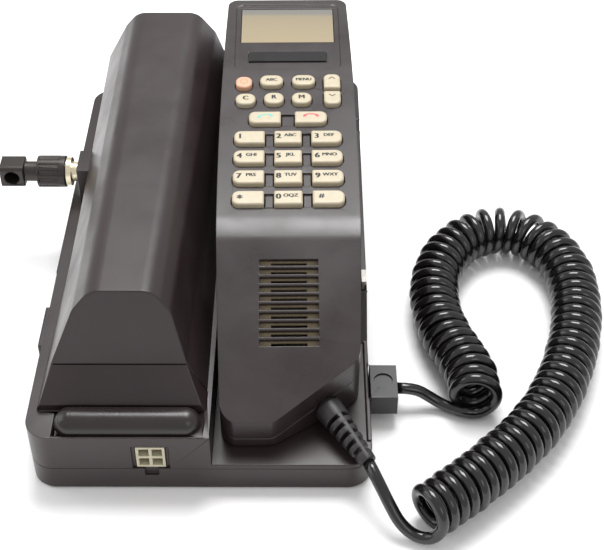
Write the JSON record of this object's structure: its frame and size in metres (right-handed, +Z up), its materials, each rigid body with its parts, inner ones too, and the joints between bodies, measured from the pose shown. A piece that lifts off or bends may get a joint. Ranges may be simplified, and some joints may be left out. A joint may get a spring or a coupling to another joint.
{
  "type": "transportable telephone",
  "caption": "Transportable telephone: flat base with battery pack and cradle, corded keypad handset, curly cord, antenna adaptor.",
  "frame": {"origin": "centre of the base's flat underside", "axes": "+X to the handset's side, +Y to the rear, +Z up"},
  "size_m": [0.2468, 0.2512, 0.0703],
  "materials": {
    "case_abs": "satin moulded ABS",
    "key_ivory": "moulded ivory key caps",
    "window_lens": "tinted acrylic window",
    "grille_beige": "beige moulded insert",
    "nylon_ivory": "natural nylon",
    "rubber_black": "moulded rubber",
    "cord_pvc": "glossy cord jacket",
    "circuit_green": "solder-masked board",
    "tinned_steel": "tinned steel",
    "aluminium": "cast aluminium",
    "brass": "plated brass",
    "cell_sleeve": "shrink sleeve",
    "black_zinc": "black plated metal",
    "silicone": "silicone sheet"
  },
  "bodies": {
    "base": {"antenna_socket": "brass", "base_case_screws": "black_zinc", "base_lower_case": "case_abs", "base_upper_case": "case_abs", "battery_contacts": "brass", "cord_coil": "cord_pvc", "cord_lead": "cord_pvc", "cord_plug": "cord_pvc", "cord_tail": "cord_pvc", "cradle_clip": "tinned_steel", "duplexer_filter": "aluminium", "handset_socket": "nylon_ivory", "heat_sink": "aluminium", "power_socket": "nylon_ivory", "power_socket_pins": "brass", "rf_shield_cans": "tinned_steel", "side_rail": "case_abs", "transceiver_board": "circuit_green"},
    "battery_pack": {"battery_cover": "case_abs", "battery_tray": "case_abs", "battery_cells": "cell_sleeve", "battery_terminals": "tinned_steel"},
    "release_bar": {"battery_release_bar": "case_abs", "release_springs": "tinned_steel"},
    "antenna_nut": {"antenna_coupling_nut": "black_zinc"},
    "antenna_arm": {"antenna_elbow": "black_zinc"},
    "handset": {"handset_front_case": "case_abs", "handset_rear_case": "case_abs", "display_window": "window_lens", "display_module": "tinned_steel", "badge_plate": "case_abs", "handset_board": "circuit_green", "key_mat": "silicone", "earpiece_capsule": "aluminium", "microphone_capsule": "aluminium", "sounder_grille": "grille_beige", "handset_screws": "black_zinc", "cord_strain_relief": "rubber_black"},
    "key_0_body": {"key_0": "key_ivory"},
    "key_1_body": {"key_1": "key_ivory"},
    "key_2_body": {"key_2": "key_ivory"},
    "key_3_body": {"key_3": "key_ivory"},
    "key_4_body": {"key_4": "key_ivory"},
    "key_5_body": {"key_5": "key_ivory"},
    "key_6_body": {"key_6": "key_ivory"},
    "key_7_body": {"key_7": "key_ivory"},
    "key_8_body": {"key_8": "key_ivory"},
    "key_9_body": {"key_9": "key_ivory"},
    "key_abc_body": {"key_abc": "key_ivory"},
    "key_clear_body": {"key_clear": "key_ivory"},
    "key_down_body": {"key_down": "key_ivory"},
    "key_end_body": {"key_end": "key_ivory"},
    "key_hash_body": {"key_hash": "key_ivory"},
    "key_memory_body": {"key_memory": "key_ivory"},
    "key_menu_body": {"key_menu": "key_ivory"},
    "key_power_body": {"key_power": "key_ivory"},
    "key_recall_body": {"key_recall": "key_ivory"},
    "key_send_body": {"key_send": "key_ivory"},
    "key_star_body": {"key_star": "key_ivory"},
    "key_up_body": {"key_up": "key_ivory"}
  },
  "joints": [
    {"name": "handset_lift", "type": "slide", "parent": "base", "child": "handset", "axis": [0, 0, 1], "range_m": [0, 0.06]},
    {"name": "battery_lift", "type": "slide", "parent": "base", "child": "battery_pack", "axis": [0, 0, 1], "range_m": [0, 0.05]},
    {"name": "release_bar_press", "type": "slide", "parent": "base", "child": "release_bar", "axis": [0, 0, -1], "range_m": [0, 0.001], "stiffness_N_per_m": 900, "springref_m": -0.0005, "deforming": ["release_springs"]},
    {"name": "antenna_nut_turn", "type": "hinge", "parent": "base", "child": "antenna_nut", "pos_m": [-0.068, 0.03, 0.038], "axis": [1, 0, 0], "continuous": true},
    {"name": "antenna_swivel", "type": "hinge", "parent": "base", "child": "antenna_arm", "pos_m": [-0.08, 0.03, 0.038], "axis": [1, 0, 0], "range_deg": [-90, 90]},
    {"name": "key_0_press", "type": "slide", "parent": "handset", "child": "key_0_body", "axis": [-0.001, 0.0698, -0.9976], "range_m": [0, 0.001], "stiffness_N_per_m": 400, "springref_m": -0.0003},
    {"name": "key_1_press", "type": "slide", "parent": "handset", "child": "key_1_body", "axis": [-0.001, 0.0698, -0.9976], "range_m": [0, 0.001], "stiffness_N_per_m": 400, "springref_m": -0.0003},
    {"name": "key_2_press", "type": "slide", "parent": "handset", "child": "key_2_body", "axis": [-0.001, 0.0698, -0.9976], "range_m": [0, 0.001], "stiffness_N_per_m": 400, "springref_m": -0.0003},
    {"name": "key_3_press", "type": "slide", "parent": "handset", "child": "key_3_body", "axis": [-0.001, 0.0698, -0.9976], "range_m": [0, 0.001], "stiffness_N_per_m": 400, "springref_m": -0.0003},
    {"name": "key_4_press", "type": "slide", "parent": "handset", "child": "key_4_body", "axis": [-0.001, 0.0698, -0.9976], "range_m": [0, 0.001], "stiffness_N_per_m": 400, "springref_m": -0.0003},
    {"name": "key_5_press", "type": "slide", "parent": "handset", "child": "key_5_body", "axis": [-0.001, 0.0698, -0.9976], "range_m": [0, 0.001], "stiffness_N_per_m": 400, "springref_m": -0.0003},
    {"name": "key_6_press", "type": "slide", "parent": "handset", "child": "key_6_body", "axis": [-0.001, 0.0698, -0.9976], "range_m": [0, 0.001], "stiffness_N_per_m": 400, "springref_m": -0.0003},
    {"name": "key_7_press", "type": "slide", "parent": "handset", "child": "key_7_body", "axis": [-0.001, 0.0698, -0.9976], "range_m": [0, 0.001], "stiffness_N_per_m": 400, "springref_m": -0.0003},
    {"name": "key_8_press", "type": "slide", "parent": "handset", "child": "key_8_body", "axis": [-0.001, 0.0698, -0.9976], "range_m": [0, 0.001], "stiffness_N_per_m": 400, "springref_m": -0.0003},
    {"name": "key_9_press", "type": "slide", "parent": "handset", "child": "key_9_body", "axis": [-0.001, 0.0698, -0.9976], "range_m": [0, 0.001], "stiffness_N_per_m": 400, "springref_m": -0.0003},
    {"name": "key_abc_press", "type": "slide", "parent": "handset", "child": "key_abc_body", "axis": [-0.001, 0.0698, -0.9976], "range_m": [0, 0.001], "stiffness_N_per_m": 400, "springref_m": -0.0003},
    {"name": "key_clear_press", "type": "slide", "parent": "handset", "child": "key_clear_body", "axis": [-0.001, 0.0698, -0.9976], "range_m": [0, 0.001], "stiffness_N_per_m": 400, "springref_m": -0.0003},
    {"name": "key_down_press", "type": "slide", "parent": "handset", "child": "key_down_body", "axis": [-0.001, 0.0698, -0.9976], "range_m": [0, 0.001], "stiffness_N_per_m": 400, "springref_m": -0.0003},
    {"name": "key_end_press", "type": "slide", "parent": "handset", "child": "key_end_body", "axis": [-0.001, 0.0698, -0.9976], "range_m": [0, 0.001], "stiffness_N_per_m": 400, "springref_m": -0.0003},
    {"name": "key_hash_press", "type": "slide", "parent": "handset", "child": "key_hash_body", "axis": [-0.001, 0.0698, -0.9976], "range_m": [0, 0.001], "stiffness_N_per_m": 400, "springref_m": -0.0003},
    {"name": "key_memory_press", "type": "slide", "parent": "handset", "child": "key_memory_body", "axis": [-0.001, 0.0698, -0.9976], "range_m": [0, 0.001], "stiffness_N_per_m": 400, "springref_m": -0.0003},
    {"name": "key_menu_press", "type": "slide", "parent": "handset", "child": "key_menu_body", "axis": [-0.001, 0.0698, -0.9976], "range_m": [0, 0.001], "stiffness_N_per_m": 400, "springref_m": -0.0003},
    {"name": "key_power_press", "type": "slide", "parent": "handset", "child": "key_power_body", "axis": [-0.001, 0.0698, -0.9976], "range_m": [0, 0.001], "stiffness_N_per_m": 400, "springref_m": -0.0003},
    {"name": "key_recall_press", "type": "slide", "parent": "handset", "child": "key_recall_body", "axis": [-0.001, 0.0698, -0.9976], "range_m": [0, 0.001], "stiffness_N_per_m": 400, "springref_m": -0.0003},
    {"name": "key_send_press", "type": "slide", "parent": "handset", "child": "key_send_body", "axis": [-0.001, 0.0698, -0.9976], "range_m": [0, 0.001], "stiffness_N_per_m": 400, "springref_m": -0.0003},
    {"name": "key_star_press", "type": "slide", "parent": "handset", "child": "key_star_body", "axis": [-0.001, 0.0698, -0.9976], "range_m": [0, 0.001], "stiffness_N_per_m": 400, "springref_m": -0.0003},
    {"name": "key_up_press", "type": "slide", "parent": "handset", "child": "key_up_body", "axis": [-0.001, 0.0698, -0.9976], "range_m": [0, 0.001], "stiffness_N_per_m": 400, "springref_m": -0.0003}
  ]
}
